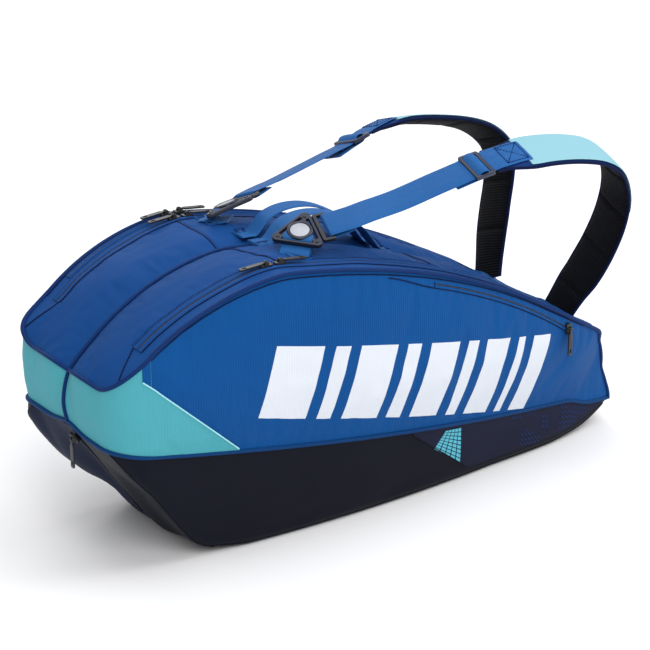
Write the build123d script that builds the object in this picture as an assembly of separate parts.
"""Racket tournament bag, modelled closed and empty, in millimetres.

X runs along the bag from the wide racket-head end (-X) to the narrow handle
end (+X).  The front panel faces -Y, +Z is up, and the origin is the middle of
the flat base.  The front half is modelled and most rear pieces mirror it.
Each sewn piece is a thin solid of its own; the two shoulder straps are shaped
one by one, because a soft strap stands differently on each side.
"""
from build123d import *
from math import cos, radians, sin, sqrt, tan
import os

os.makedirs("parts", exist_ok=True)

# ---- body: driving dimensions -------------------------------------------
WALL = 3.0                       # padded fabric
HEAD_X, TAIL_X = -375.0, 375.0   # ends of the bag
HALF_WIDTH, BASE_HALF_WIDTH = 128.0, 98.0
WIDEST_X, PLAN_RADIUS = -140.0, 1850.0
LEAN_TOP = 160.0                 # the sides lean inwards below this height
CORNER_RADIUS = 45.0             # the two upright corners of the head end
DIVIDER_HALF = 2.5               # half the padded divider's thickness
BOARD_TOP = 6.5                  # top of the board that stiffens the base
CROWN_X, CROWN_Z = -167.0, 332.5
HEAD_ARC_X, HEAD_ARC_Z, HEAD_ARC_R = -150.0, 43.0, 290.0
BACK_ARC_X, BACK_ARC_Z, BACK_ARC_R = -251.7, -593.7, 930.0
SHOULDER_X, SHOULDER_Z = 231.5, 201.0
TAIL_ARC_X, TAIL_ARC_Z, TAIL_ARC_R = 300.0, 74.8, 75.0
TAIL_SLOPE = 30.0                # degrees, the straight stretch before the tail
TOE_TAIL_X, TOE_HEAD_X = 300.0, -262.0
TOE_TAIL_R, TOE_HEAD_R = 60.0, 55.0
BASE_SEAM_HEAD_X, BASE_SEAM_TAIL_X = -217.0, 294.0   # ends of the flat base panel
WAIST_HEAD_Z, WAIST_TAIL_Z = 155.0, 41.0

# ---- covers, piping and zips ---------------------------------------------
FOLD_X, FOLD_Z, FOLD_SLOPE = -340.0, 215.0, -0.181   # where a cover folds down
COVER_HEAD_X = -335.0
GAP = 0.6                        # half of the slit around a cover
BEAD = 2.0                       # piping stands this far out
ZIP_HALF_WIDTH, ZIP_RADIUS = 101.0, 2200.0
TAPE, TAPE_WIDTH = 0.8, 8.5
ZIP_TAIL_X = 345.0
SLIDER_LIFT = 1.8
WELT_HEIGHT, WELT_HALF = 2.5, 3.0
POCKET_DROP = 10.8               # front pocket zip below the top edge
POCKET_X0, POCKET_X1 = 44.0, 268.0
REAR_POCKET_INSET = 8.6          # rear pocket zip inwards of the edge
TAB_THICK = 2.4                  # webbing patches sewn on the gusset

# ---- straps and handles ----------------------------------------------------
STRAP_LEAN = 18.0                # degrees that each strap leans outwards
WEB_HALF, WEB_THICK = 19.5, 2.6
PAD_HALF, PAD_THICK = 29.0, 10.0
RING_SIDE, RING_THICK = 67.0, 5.5
RING_NORMAL, RING_EDGE = (-0.219, -0.331, 0.918), (0.713, -0.698, -0.0816)   # front ring
HANDLE_Y, HANDLE_HALF, HANDLE_THICK = 17.0, 12.5, 3.0
HANDLE_X0, HANDLE_X1, HANDLE_RISE = -122.0, 24.0, 40.0

REACH = 420.0                    # larger than the bag, for cutting tools


def top_z(x, lift=0.0):
    """Height of the top profile at x, lifted square to the surface."""
    if x < CROWN_X:
        return HEAD_ARC_Z + sqrt((HEAD_ARC_R + lift) ** 2 - (x - HEAD_ARC_X) ** 2)
    if x < SHOULDER_X:
        return BACK_ARC_Z + sqrt((BACK_ARC_R + lift) ** 2 - (x - BACK_ARC_X) ** 2)
    return SHOULDER_Z - tan(radians(TAIL_SLOPE)) * (x - SHOULDER_X) + lift / cos(radians(TAIL_SLOPE))


def top_normal(x):
    """Unit normal of the top profile at x."""
    if x < CROWN_X:
        return Vector(x - HEAD_ARC_X, 0, top_z(x) - HEAD_ARC_Z).normalized()
    if x < SHOULDER_X:
        return Vector(x - BACK_ARC_X, 0, top_z(x) - BACK_ARC_Z).normalized()
    return Vector(sin(radians(TAIL_SLOPE)), 0, cos(radians(TAIL_SLOPE)))


def half_width(x, out=0.0):
    """Half the bag's width at x above the leaning part."""
    return HALF_WIDTH - PLAN_RADIUS + sqrt((PLAN_RADIUS + out) ** 2 - (x - WIDEST_X) ** 2)


def zip_y(x, out=0.0):
    """Distance of the main zip from the middle at x."""
    return ZIP_HALF_WIDTH - ZIP_RADIUS + sqrt((ZIP_RADIUS + out) ** 2 - (x - WIDEST_X) ** 2)


def circle_through(p, q, r):
    """Centre and axis of the circle from p by q to r, turning towards r."""
    a, b = q - p, r - p
    n = a.cross(b)
    centre = p + (n.cross(a) * b.dot(b) + b.cross(n) * a.dot(a)) * (1 / (2 * n.dot(n)))
    return centre, n.normalized()


# ---- master solids of the front half ---------------------------------------
def profile_face(out=0.0):
    """Side view of the bag in the XZ plane, grown by out."""
    def arc(cx, cz, radius, x0, z0, x1, z1):
        xm, zm = (x0 + x1) / 2 - cx, (z0 + z1) / 2 - cz
        k = radius / sqrt(xm * xm + zm * zm)
        return ThreePointArc((x0, z0), (cx + xm * k, cz + zm * k), (x1, z1))

    far = HEAD_X - 25
    slope = WAIST_HEAD_Z / (TOE_HEAD_X - HEAD_X)
    join_x = TAIL_ARC_X + TAIL_ARC_R * sin(radians(TAIL_SLOPE))
    join_z = TAIL_ARC_Z + TAIL_ARC_R * cos(radians(TAIL_SLOPE))
    head_z = top_z(far)
    low_z = WAIST_HEAD_Z + slope * 25
    edges = [
        arc(HEAD_ARC_X, HEAD_ARC_Z, HEAD_ARC_R, far, head_z, CROWN_X, CROWN_Z),
        arc(BACK_ARC_X, BACK_ARC_Z, BACK_ARC_R, CROWN_X, CROWN_Z, SHOULDER_X, SHOULDER_Z),
        Line((SHOULDER_X, SHOULDER_Z), (join_x, join_z)),
        arc(TAIL_ARC_X, TAIL_ARC_Z, TAIL_ARC_R, join_x, join_z, TAIL_X, TAIL_ARC_Z),
        Line((TAIL_X, TAIL_ARC_Z), (TAIL_X, WAIST_TAIL_Z)),
        Line((TAIL_X, WAIST_TAIL_Z), (TOE_TAIL_X, 0)),
        Line((TOE_TAIL_X, 0), (TOE_HEAD_X, 0)),
        Line((TOE_HEAD_X, 0), (far, low_z)),
        Line((far, low_z), (far, head_z)),
    ]
    face = make_face(edges)
    toes = {TOE_TAIL_X: TOE_TAIL_R, TOE_HEAD_X: TOE_HEAD_R}
    for toe_x, radius in toes.items():
        corner = [v for v in face.vertices() if abs(v.X - toe_x) < 0.1 and abs(v.Y) < 0.1]
        face = fillet(corner, radius)
    if out:
        face = offset(face, out, kind=Kind.INTERSECTION)
    return face


def profile_solid(out=0.0):
    """The side view, pushed from the middle plane to the front."""
    return extrude(Plane.XZ * profile_face(out), amount=200)


def plan_solid(out=0.0):
    """The plan of the front half, upright above LEAN_TOP and leaning below."""
    x0, x1 = HEAD_X - out, 400.0
    y0, y1 = -half_width(x0, out), -half_width(x1, out)
    xm = (x0 + x1) / 2
    outline = [
        Line((x0, 0), (x0, y0)),
        ThreePointArc((x0, y0), (xm, -half_width(xm, out)), (x1, y1)),
        Line((x1, y1), (x1, 0)),
        Line((x1, 0), (x0, 0)),
    ]
    face = make_face(outline)
    corner = [v for v in face.vertices() if abs(v.X - x0) < 0.1 and v.Y < -10]
    face = Pos(0, 0, LEAN_TOP) * fillet(corner, CORNER_RADIUS + out)
    lean = Vector(0, HALF_WIDTH - BASE_HALF_WIDTH, -LEAN_TOP)
    low_part = extrude(face, amount=lean.length * 1.1, dir=lean.normalized())
    front_side = Pos(0, -100, 0) * Box(900, 200, 900)
    return extrude(face, amount=240) + (low_part & front_side)


def side_region(*points):
    """Cutting tool: a side-view polygon over the whole front half."""
    return extrude(Plane.XZ * make_face(Polyline(*points, close=True)), amount=200)


def above(x0, z0, slope, gap=0.0):
    """Everything above a sloping line of the side view."""
    left = z0 + slope * (-REACH - x0) + gap
    right = z0 + slope * (REACH - x0) + gap
    return side_region((-REACH, left), (REACH, right), (REACH, REACH), (-REACH, REACH))


def x_range(x0, x1):
    """Everything between two stations along the bag."""
    return side_region((x0, -50), (x1, -50), (x1, REACH), (x0, REACH))


def plan_strip(width, out):
    """Everything within width(x) + out of the middle plane, front side."""
    ends = [(-REACH, -width(-REACH, out)), (0, -width(0, out)), (REACH, -width(REACH, out))]
    outline = [
        ThreePointArc(*ends),
        Line(ends[2], (REACH, 0)),
        Line((REACH, 0), (-REACH, 0)),
        Line((-REACH, 0), ends[0]),
    ]
    return Pos(0, 0, -20) * extrude(make_face(outline), amount=REACH + 20)


def patch(x, y, length, width):
    """A rectangular webbing patch lying on the gusset."""
    prism = Pos(x, y, 60) * extrude(Rectangle(length, width), amount=320)
    return prism & (profile_solid(TAB_THICK) - outer_profile)


def both_halves(shape):
    """A front piece and its mirror image, joined at the middle plane."""
    return shape + mirror(shape, Plane.XZ)


outer_plan, inner_plan = plan_solid(), plan_solid(-WALL)
outer_profile, inner_profile = profile_solid(), profile_solid(-WALL)
side_wall = outer_plan - inner_plan
gusset_wall = (outer_profile - inner_profile) & inner_plan
grown = plan_solid(BEAD) & profile_solid(BEAD)
edge_bead = grown - inner_plan - inner_profile

WAIST_SLOPE = (WAIST_TAIL_Z - WAIST_HEAD_Z) / (TAIL_X - HEAD_X)
over_waist = above(HEAD_X, WAIST_HEAD_Z, WAIST_SLOPE)
over_fold = above(FOLD_X, FOLD_Z, FOLD_SLOPE, GAP)
under_fold = side_region((-REACH, -50), (REACH, -50), (REACH, REACH), (-REACH, REACH)) \
    - above(FOLD_X, FOLD_Z, FOLD_SLOPE, -GAP)
cover_zone = over_fold & x_range(COVER_HEAD_X + GAP, REACH)
head_zone = x_range(-REACH, COVER_HEAD_X - GAP)
inside_zip = plan_strip(zip_y, -GAP)
outside_zip = plan_strip(half_width, 40) - plan_strip(zip_y, GAP)


# ---- body pieces -------------------------------------------------------------
def body_panels():
    """The sewn panels that stay with the base."""
    lower_side = (side_wall & outer_profile) - over_waist
    fixed_side = side_wall & inner_profile & over_waist
    head_band = fixed_side & head_zone
    middle = fixed_side & x_range(COVER_HEAD_X - GAP, REACH) & under_fold
    under_waist = gusset_wall - over_waist
    base_zone = x_range(BASE_SEAM_HEAD_X, BASE_SEAM_TAIL_X)
    head_low = under_waist & x_range(-REACH, BASE_SEAM_HEAD_X)
    tail_end = gusset_wall & over_waist & under_fold & x_range(TAIL_ARC_X, REACH)
    top = gusset_wall & over_waist & (head_zone + (inside_zip & above(FOLD_X, FOLD_Z, FOLD_SLOPE, -GAP)))
    top = top & above(HEAD_X, WAIST_HEAD_Z + 10, WAIST_SLOPE)
    return {
        "front_lower_panel": lower_side,
        "rear_lower_panel": mirror(lower_side, Plane.XZ),
        "front_side_panel": middle,
        "rear_side_panel": mirror(middle, Plane.XZ),
        "head_band_front": head_band,
        "head_band_rear": mirror(head_band, Plane.XZ),
        "top_gusset_front": top,
        "top_gusset_rear": mirror(top, Plane.XZ),
        "head_lower_panel": both_halves(head_low),
        "tail_end_panel": both_halves(tail_end),
        "tail_lower_panel": both_halves(under_waist & x_range(BASE_SEAM_TAIL_X, REACH)),
        "base_panel": both_halves(under_waist & base_zone),
    }


def inner_pieces():
    """The padded divider and the board that stiffens the base."""
    board_x0, board_x1 = TOE_HEAD_X + 30, TOE_TAIL_X - 20
    stiffener = plan_solid(-8) & profile_solid(-WALL - 0.5) & side_region(
        (board_x0, 0), (board_x1, 0), (board_x1, BOARD_TOP), (board_x0, BOARD_TOP))
    sheet = Pos(0, -DIVIDER_HALF / 2, 0) * Box(900, DIVIDER_HALF, 900)
    over_board = BOARD_TOP + 0.5
    divider = profile_solid(-WALL - 0.7) & inner_plan & sheet & side_region(
        (HEAD_X + 5, over_board), (REACH, over_board), (REACH, REACH), (HEAD_X + 5, REACH))
    return {"base_stiffener": both_halves(stiffener), "divider_panel": both_halves(divider)}


def trims():
    """Piping, the welt between the two halves, and the zip tapes of the body."""
    head_bead = edge_bead & head_zone & above(HEAD_X, WAIST_HEAD_Z + 30, 0)
    tail_bead = (edge_bead & x_range(TAIL_ARC_X, REACH)) - cover_zone
    tail_bead = tail_bead & above(HEAD_X, WAIST_HEAD_Z + 3, WAIST_SLOPE)
    body_bead = head_bead + tail_bead
    slab = above(HEAD_X, WAIST_HEAD_Z - 2.5, WAIST_SLOPE) - above(HEAD_X, WAIST_HEAD_Z + 2.5, WAIST_SLOPE)
    waist = ((grown & slab) - outer_plan) + ((grown & slab) - outer_profile)
    welt_strip = Pos(0, -WELT_HALF / 2, 0) * Box(900, WELT_HALF, 900)
    welt = (profile_solid(WELT_HEIGHT) - outer_profile) & inner_plan & welt_strip
    welt = welt & above(HEAD_X, WAIST_HEAD_Z + 60, WAIST_SLOPE) & x_range(-REACH, 322)
    skin = profile_solid(TAPE) - outer_profile
    length = x_range(COVER_HEAD_X + 2, ZIP_TAIL_X)
    inner_tape = skin & (inside_zip - plan_strip(zip_y, -GAP - TAPE_WIDTH)) & length
    inner_tape = inner_tape & above(0, 120, 0)
    head_strip = Pos(0, -4.5, 0) * Box(900, 9, 900)
    head_tape = skin & head_strip & x_range(HEAD_X + 8, TOE_HEAD_X - 30)
    head_tape = head_tape - above(HEAD_X, WAIST_HEAD_Z - 8, WAIST_SLOPE)
    return {
        "edge_piping": body_bead + mirror(body_bead, Plane.XZ),
        "waist_piping": both_halves(waist),
        "centre_welt": both_halves(welt),
        "inner_zip_tapes": inner_tape + mirror(inner_tape, Plane.XZ),
        "head_zip_tape": both_halves(head_tape),
    }


def covers():
    """The two zip-open covers: panel, outer gusset strip, piping and tapes."""
    panel = side_wall & inner_profile & cover_zone
    strip = gusset_wall & cover_zone & outside_zip
    piping = edge_bead & cover_zone
    skin = profile_solid(TAPE) - outer_profile
    length = x_range(COVER_HEAD_X + 2, ZIP_TAIL_X)
    tape = skin & outside_zip & plan_strip(zip_y, GAP + TAPE_WIDTH) & length & above(0, 120, 0)
    tape = tape & plan_strip(half_width, -REAR_POCKET_INSET - 4.6)
    face_skin = plan_solid(TAPE) - outer_plan
    pocket = face_skin & (profile_solid(-POCKET_DROP + 5) - profile_solid(-POCKET_DROP - 5))
    pocket = pocket & x_range(POCKET_X0 - 6, POCKET_X1 + 8) & over_fold
    rear_strip = plan_strip(half_width, 4 - REAR_POCKET_INSET)
    rear_strip -= plan_strip(half_width, -4 - REAR_POCKET_INSET)
    rear_pocket = skin & rear_strip & x_range(-310, 250) & above(0, 150, 0)
    pieces = {
        "front_cover_panel": panel,
        "front_cover_gusset": strip,
        "front_top_piping": piping,
        "front_outer_zip_tape": tape,
        "front_pocket_zip_tape": pocket,
        "rear_pocket_zip_tape": mirror(rear_pocket, Plane.XZ),
    }
    for name in ("cover_panel", "cover_gusset", "top_piping", "outer_zip_tape"):
        pieces["rear_" + name] = mirror(pieces["front_" + name], Plane.XZ)
    return pieces


# ---- zip sliders -------------------------------------------------------------
SLIDER_LENGTH, SLIDER_WIDTH, SLIDER_HEIGHT = 14.0, 9.0, 4.0
PIN_HEIGHT, PIN_RADIUS, EYE_CLEARANCE = 6.4, 0.8, 0.08
PULL_LENGTH, PULL_WIDTH, PULL_THICK = 34.0, 7.0, 1.8


def slider_body():
    """Slider about its own foot: a waisted body with two cheeks and a pin."""
    body = extrude(RectangleRounded(SLIDER_LENGTH, SLIDER_WIDTH, 2.5), amount=SLIDER_HEIGHT)
    notch = Pos(SLIDER_LENGTH / 2, 0, SLIDER_HEIGHT / 2) * Box(5, 2.2, SLIDER_HEIGHT + 1)
    cheek_outline = Polyline((-3, 3.5), (3, 3.5), (1.6, 7.8), (-1.6, 7.8), close=True)
    cheek = extrude(Plane.XZ * make_face(cheek_outline), amount=1.3)
    pin = Pos(0, 0, PIN_HEIGHT) * Rot(90, 0, 0) * Cylinder(PIN_RADIUS, 6.0)
    return body - notch + Pos(0, -1.9, 0) * cheek + Pos(0, 3.2, 0) * cheek + pin


def pull_tab():
    """Pull lying along +X of the slider, about the same foot."""
    eye = Pos(0, 0, PIN_HEIGHT) * Rot(90, 0, 0) * Cylinder(2.2, 3.0)
    neck = Pos(3.0, 0, PIN_HEIGHT) * Box(6.0, 3.0, PULL_THICK)
    grip_middle = 5.0 + (PULL_LENGTH - 5.0) / 2
    grip = Pos(grip_middle, 0, PIN_HEIGHT - PULL_THICK / 2) * extrude(
        RectangleRounded(PULL_LENGTH - 5.0, PULL_WIDTH, 2.2), amount=PULL_THICK)
    slot = Pos(PULL_LENGTH - 6, 0, PIN_HEIGHT) * Box(5, 3, 4)
    bore = Pos(0, 0, PIN_HEIGHT) * Rot(90, 0, 0) * Cylinder(PIN_RADIUS + EYE_CLEARANCE, 4.0)
    return eye + neck + grip - slot - bore


def main_zip_path(x, side, width=zip_y, inset=0.0):
    """Point under a slider of the main zip at x, on the given side."""
    return Vector(x, side * (width(x) - inset), top_z(x)) + top_normal(x) * SLIDER_LIFT


def pocket_path(x):
    """Point under the slider of the front pocket zip at x."""
    z = BACK_ARC_Z + sqrt((BACK_ARC_R - POCKET_DROP) ** 2 - (x - BACK_ARC_X) ** 2)
    return Vector(x, -half_width(x) - SLIDER_LIFT, z)


def zip_runs():
    """Each slider's path: a function of x, with the start and end of travel."""
    def front(x):
        return main_zip_path(x, -1)

    def rear(x):
        return main_zip_path(x, 1)

    def rear_pocket(x):
        return main_zip_path(x, 1, half_width, REAR_POCKET_INSET)

    left, right = CROWN_X - 8.5, CROWN_X + 8.5
    return {
        "front_left_slider": (front, left, -318.0),
        "front_right_slider": (front, right, 228.0),
        "rear_left_slider": (rear, left, -318.0),
        "rear_right_slider": (rear, right, 228.0),
        "rear_pocket_left_slider": (rear_pocket, left, -300.0),
        "rear_pocket_right_slider": (rear_pocket, right, 228.0),
        "front_pocket_slider": (pocket_path, POCKET_X1, POCKET_X0 + 8),
    }


def sliders():
    """Every slider with its pull; the joint data are printed for the record."""
    pieces = {}
    for name, (path, x0, x1) in zip_runs().items():
        start, end = path(x0), path(x1)
        centre, axis = circle_through(start, path((x0 + x1) / 2), end)
        angle = (start - centre).get_angle(end - centre)
        run = axis.cross(start - centre).normalized()
        if name == "front_pocket_slider":
            up = Vector((x0 - WIDEST_X) / PLAN_RADIUS, -1, 0).normalized()
            down = (Vector(0, 0, -1) - up * Vector(0, 0, -1).dot(up)).normalized()
            pull_plane = Plane(origin=start, x_dir=down, z_dir=up)
        else:
            up = top_normal(x0)
            pull_plane = Plane(origin=start, x_dir=run, z_dir=up)
        pieces[name] = pull_plane * slider_body()
        pieces[name.replace("slider", "pull")] = pull_plane * pull_tab()
        pin = start + up * PIN_HEIGHT
        print(name, "centre", centre, "axis", axis, "travel", round(angle, 2),
              "pin", pin, "pin axis", pull_plane.y_dir)
    slope = Vector(TOE_HEAD_X - HEAD_X, 0, -WAIST_HEAD_Z).normalized()
    out = Vector(slope.Z, 0, -slope.X)
    foot = Vector(HEAD_X, 0, WAIST_HEAD_Z) + slope * 16 + out * SLIDER_LIFT
    pieces["head_slider"] = Plane(origin=foot, x_dir=slope, z_dir=out) * slider_body()
    pin = foot + out * PIN_HEIGHT
    hang = Plane(origin=pin + Vector(PIN_HEIGHT, 0, 0), x_dir=(0, 0, -1), z_dir=(-1, 0, 0))
    pieces["head_pull"] = hang * pull_tab()
    print("head_slider slides along", slope, "pin", pin)
    return pieces


# ---- shoulder straps ---------------------------------------------------------
STRAPS = {
    "front": {
        "anchor": (-112, -70, 346), "tail": (288, -38, 180),
        "ring": (-105, -60, 350), "side": -1,
        "webbing": [(34, 31), (70, 56), (102, 78), (140, 110), (171, 137)],
        "lock": ((171, 137), (194, 153)),
        "pad": [(195, 154), (220, 166), (261, 185), (304, 198), (344, 203),
                (379, 195), (411, 168), (431, 132), (442, 90), (445, 50), (443, 24)],
    },
    "rear": {
        "anchor": (-112, 70, 346), "tail": (245, 38, 202),
        "ring": (-127, 62, 352), "side": 1,
        "webbing": [(18, 22), (50, 45), (89, 73), (118, 94), (137, 109)],
        "lock": ((137, 109), (159, 126)),
        "pad": [(160, 127), (180, 139), (212, 156), (260, 169), (303, 176), (335, 175),
                (361, 164), (372, 145), (375, 119), (375, 87), (376, 50), (378, 24)],
    },
}


def flat_band(plane, points, half_width_, thickness):
    """A strap along a smooth path in the plane, as wide as it is across it."""
    path = Spline(*points)
    steps = 3 * len(points)
    upper, lower = [], []
    for i in range(steps + 1):
        here, along = path @ (i / steps), path % (i / steps)
        square = Vector(-along.Y, along.X) * (thickness / 2)
        upper.append(here + square)
        lower.append(here - square)
    outline = [Spline(*upper), Line(upper[-1], lower[-1]), Spline(*lower[::-1]), Line(lower[0], upper[0])]
    return extrude(plane * make_face(outline), amount=half_width_, both=True)


def ladder_lock():
    """Adjuster about its middle: a frame with three cross bars."""
    plate = extrude(RectangleRounded(26, 45, 3), amount=5)
    slots = Pos(-5.5, 0, -1) * Box(6, 37, 20) + Pos(5.5, 0, -1) * Box(6, 37, 20)
    return plate - slots


def triangle_ring():
    """Triangular link about its middle, apex along +Y, with three slots."""
    inner_radius = RING_SIDE / (2 * sqrt(3))
    corners = [(RING_SIDE / sqrt(3) * cos(radians(a)), RING_SIDE / sqrt(3) * sin(radians(a)))
               for a in (90, 210, 330)]
    outline = make_face(Polyline(*corners, close=True))
    ring = extrude(fillet(outline.vertices(), 6), amount=RING_THICK)
    for turn in (0, 120, 240):
        slot = Pos(0, -inner_radius + 5, RING_THICK / 2) * Box(36, 3.8, 9)
        ring -= Rot(0, 0, turn) * slot
    return ring


def ring_loop():
    """Rectangular loop that the webbing is sewn around."""
    plate = extrude(RectangleRounded(16, 46, 3), amount=4.5)
    return plate - Pos(0, 0, 2) * Box(7, 39, 10)


def strap(name, spec):
    """All the pieces of one shoulder strap."""
    side = spec["side"]
    anchor, tail = Vector(*spec["anchor"]), Vector(*spec["tail"])
    chord = (tail - anchor).normalized()
    lean = Vector(0, side * sin(radians(STRAP_LEAN)), cos(radians(STRAP_LEAN)))
    rise = (lean - chord * lean.dot(chord)).normalized()
    plane = Plane(origin=anchor, x_dir=chord, z_dir=chord.cross(rise))
    lock_start, lock_end = (Vector(*p) for p in spec["lock"])
    lock_run = (lock_end - lock_start).normalized()
    middle = (lock_start + lock_end) * 0.5
    lock_up = Vector(-lock_run.Y, lock_run.X)
    lock_plane = Plane(
        origin=plane.from_local_coords(middle - lock_up * 2.5),
        x_dir=plane.from_local_coords(middle + lock_run) - plane.from_local_coords(middle),
        z_dir=plane.from_local_coords(middle + lock_up) - plane.from_local_coords(middle))
    ring_plane = Plane(origin=(0, 0, 0), x_dir=RING_EDGE, z_dir=RING_NORMAL)
    loop_at = Rot(0, 0, 30) * Pos(RING_SIDE / (2 * sqrt(3)) + 9.6, 0, -2.25)
    below = Pos(0, 0, -RING_THICK / 2)
    disc = Pos(0, 0, RING_THICK / 2) * Cylinder(11, 2.0, align=(Align.CENTER, Align.CENTER, Align.MIN))

    def hung(shape):
        """Put a link piece on its strap; the rear strap's are mirror images."""
        placed = ring_plane * shape
        if side > 0:
            placed = mirror(placed, Plane.XZ)
        return Pos(*spec["ring"]) * placed

    pieces = {
        "webbing": flat_band(plane, drawn_back(spec["webbing"]), WEB_HALF, WEB_THICK),
        "ladder_lock": lock_plane * ladder_lock(),
        "pad": flat_band(plane, spec["pad"], PAD_HALF, PAD_THICK),
        "tri_ring": hung(below * triangle_ring()),
        "badge": hung(disc),
        "ring_loop": hung(loop_at * ring_loop()),
    }
    print(name, "strap hinge at", anchor, "axis", chord)
    return {name + "_strap_" + key: shape for key, shape in pieces.items()}


def drawn_back(points):
    """The path with its last point 3 mm short, clear of the ladder lock."""
    a, b = Vector(*points[-2]), Vector(*points[-1])
    end = b - (b - a).normalized() * 3
    return points[:-1] + [(end.X, end.Y)]


# ---- carry handles and sewn tabs ----------------------------------------------
def carry_handle(side):
    """Webbing arch that starts a little above the gusset."""
    plane = Plane(origin=(0, side * HANDLE_Y, 0), x_dir=(1, 0, 0), z_dir=(0, -1, 0))
    points = []
    arch = ((0.03, 0.3), (0.13, 0.62), (0.3, 0.9), (0.5, 1.0), (0.7, 0.9), (0.87, 0.62), (0.97, 0.3))
    for share, rise in arch:
        x = HANDLE_X0 + share * (HANDLE_X1 - HANDLE_X0)
        points.append((x, top_z(x) + rise * HANDLE_RISE))
    return flat_band(plane, points, HANDLE_HALF, HANDLE_THICK)


def sewn_tabs():
    """Patches that hold the straps and the handles on the gusset."""
    tabs = []
    for spec in STRAPS.values():
        side = spec["side"]
        pair = [patch(spec["ring"][0] - 16, -73, 24, 34), patch(spec["tail"][0] - 12, -26, 34, 41)]
        tabs += [mirror(tab, Plane.XZ) if side > 0 else tab for tab in pair]
    for x in (HANDLE_X0 - 4, HANDLE_X1 + 4):
        foot = patch(x, -HANDLE_Y, 26, 2 * HANDLE_HALF)
        tabs += [foot, mirror(foot, Plane.XZ)]
    return {"sewn_tabs": Compound(children=[s for tab in tabs for s in tab.solids()])}


def main():
    pieces = {}
    for group in (body_panels(), inner_pieces(), trims(), covers(), sliders(), sewn_tabs()):
        pieces.update(group)
    for name, spec in STRAPS.items():
        pieces.update(strap(name, spec))
    pieces["carry_handle_front"] = carry_handle(-1)
    pieces["carry_handle_rear"] = carry_handle(1)
    for node, shape in pieces.items():
        export_step(shape, "parts/" + node + ".step")
    print(len(pieces), "nodes")


main()
